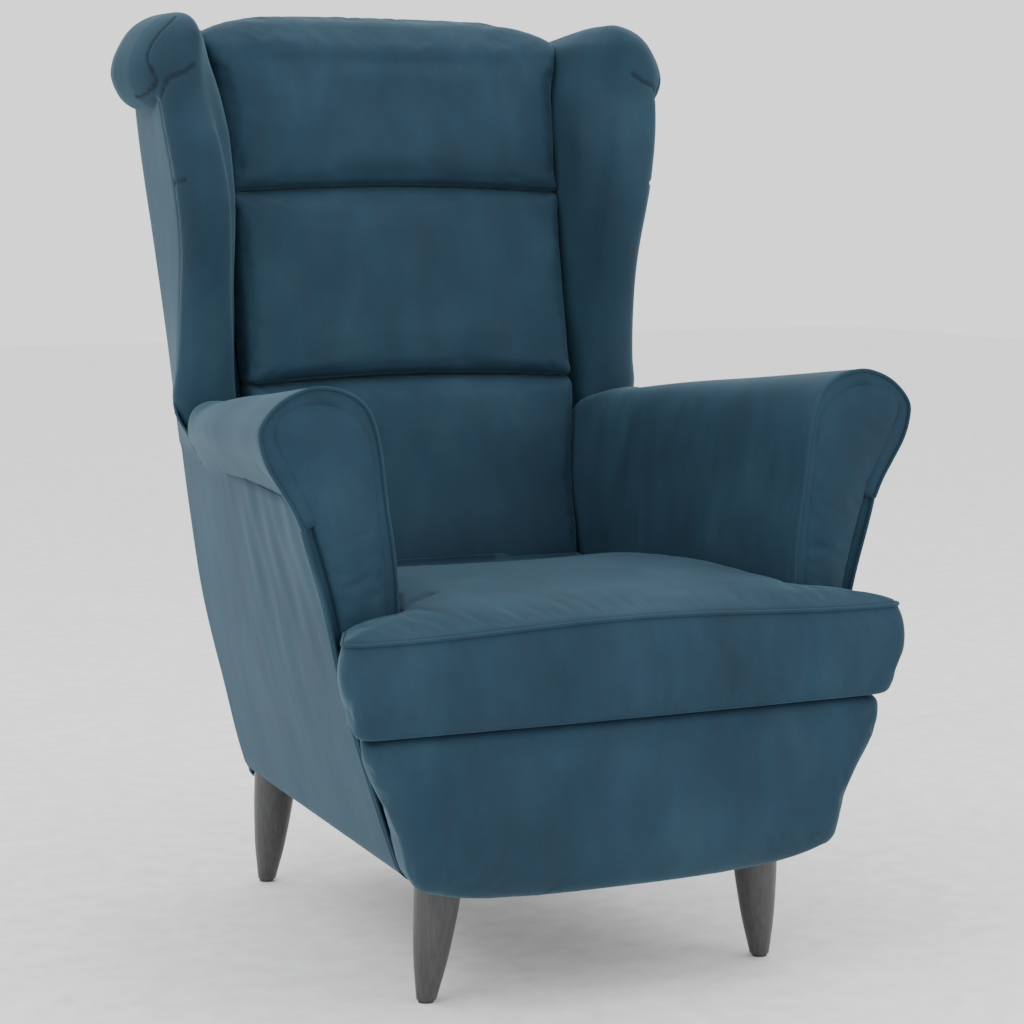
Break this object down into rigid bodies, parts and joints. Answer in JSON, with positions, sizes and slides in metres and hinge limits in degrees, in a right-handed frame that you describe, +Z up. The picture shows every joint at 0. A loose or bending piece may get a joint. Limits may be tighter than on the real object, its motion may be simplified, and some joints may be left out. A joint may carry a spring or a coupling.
{
  "type": "upholstered armchair",
  "caption": "High-backed wing armchair with rolled arms, a fixed T-shaped seat cushion, a channelled back, fitted velvet covers and turned splayed legs.",
  "frame": {"origin": "on the floor, at the middle of the width and depth of the chair", "axes": "+Z up, +Y towards the back, +X to the right as seen by someone looking at the front"},
  "size_m": [0.7824, 0.7949, 1.0668],
  "materials": {
    "velvet": "short-pile teal-blue velvet",
    "foam": "polyurethane foam",
    "felt": "needled felt",
    "webbing": "elastic webbing",
    "dust_cloth": "spun-bonded cloth",
    "leg_lacquer": "dark grey satin lacquer",
    "frame_timber": "planed softwood",
    "plywood": "birch plywood",
    "hardboard": "pressed fibre board",
    "zinc_steel": "zinc plated",
    "glide_plastic": "moulded",
    "clip_plastic": "moulded"
  },
  "bodies": {
    "root": {"arm_cover_left": "velvet", "arm_cover_right": "velvet", "arm_facing_left": "velvet", "arm_facing_right": "velvet", "arm_foam_left": "foam", "arm_foam_right": "foam", "arm_former_left": "plywood", "arm_former_right": "plywood", "arm_top_rail_left": "frame_timber", "arm_top_rail_right": "frame_timber", "back_bottom_rail": "frame_timber", "back_cover": "velvet", "back_foam_lower": "foam", "back_foam_middle": "foam", "back_foam_upper": "foam", "back_middle_rail": "frame_timber", "back_post_left": "frame_timber", "back_post_right": "frame_timber", "back_top_rail": "frame_timber", "back_webbing": "webbing", "corner_blocks": "frame_timber", "dust_cover": "dust_cloth", "frame_bolts": "zinc_steel", "frame_dowels": "frame_timber", "frame_nuts": "zinc_steel", "front_rail_cover": "velvet", "front_rail_foam": "foam", "leg_front_left": "leg_lacquer", "leg_front_right": "leg_lacquer", "leg_glides": "glide_plastic", "leg_hanger_bolts": "zinc_steel", "leg_rear_left": "leg_lacquer", "leg_rear_right": "leg_lacquer", "leg_tee_nuts": "zinc_steel", "outer_back_board": "hardboard", "outer_back_cover": "velvet", "seat_cover": "velvet", "seat_foam": "foam", "seat_front_rail": "frame_timber", "seat_piping": "velvet", "seat_rear_rail": "frame_timber", "seat_side_rail_left": "frame_timber", "seat_side_rail_right": "frame_timber", "seat_springs": "zinc_steel", "side_board_left": "hardboard", "side_board_right": "hardboard", "side_cover_left": "velvet", "side_cover_right": "velvet", "spring_clips": "clip_plastic", "spring_insulator_pad": "felt", "wing_cover_left": "velvet", "wing_cover_right": "velvet", "wing_foam_left": "foam", "wing_foam_right": "foam", "wing_former_left": "plywood", "wing_former_right": "plywood", "wing_screws": "zinc_steel", "wing_spacer_blocks": "frame_timber"}
  },
  "joints": []
}
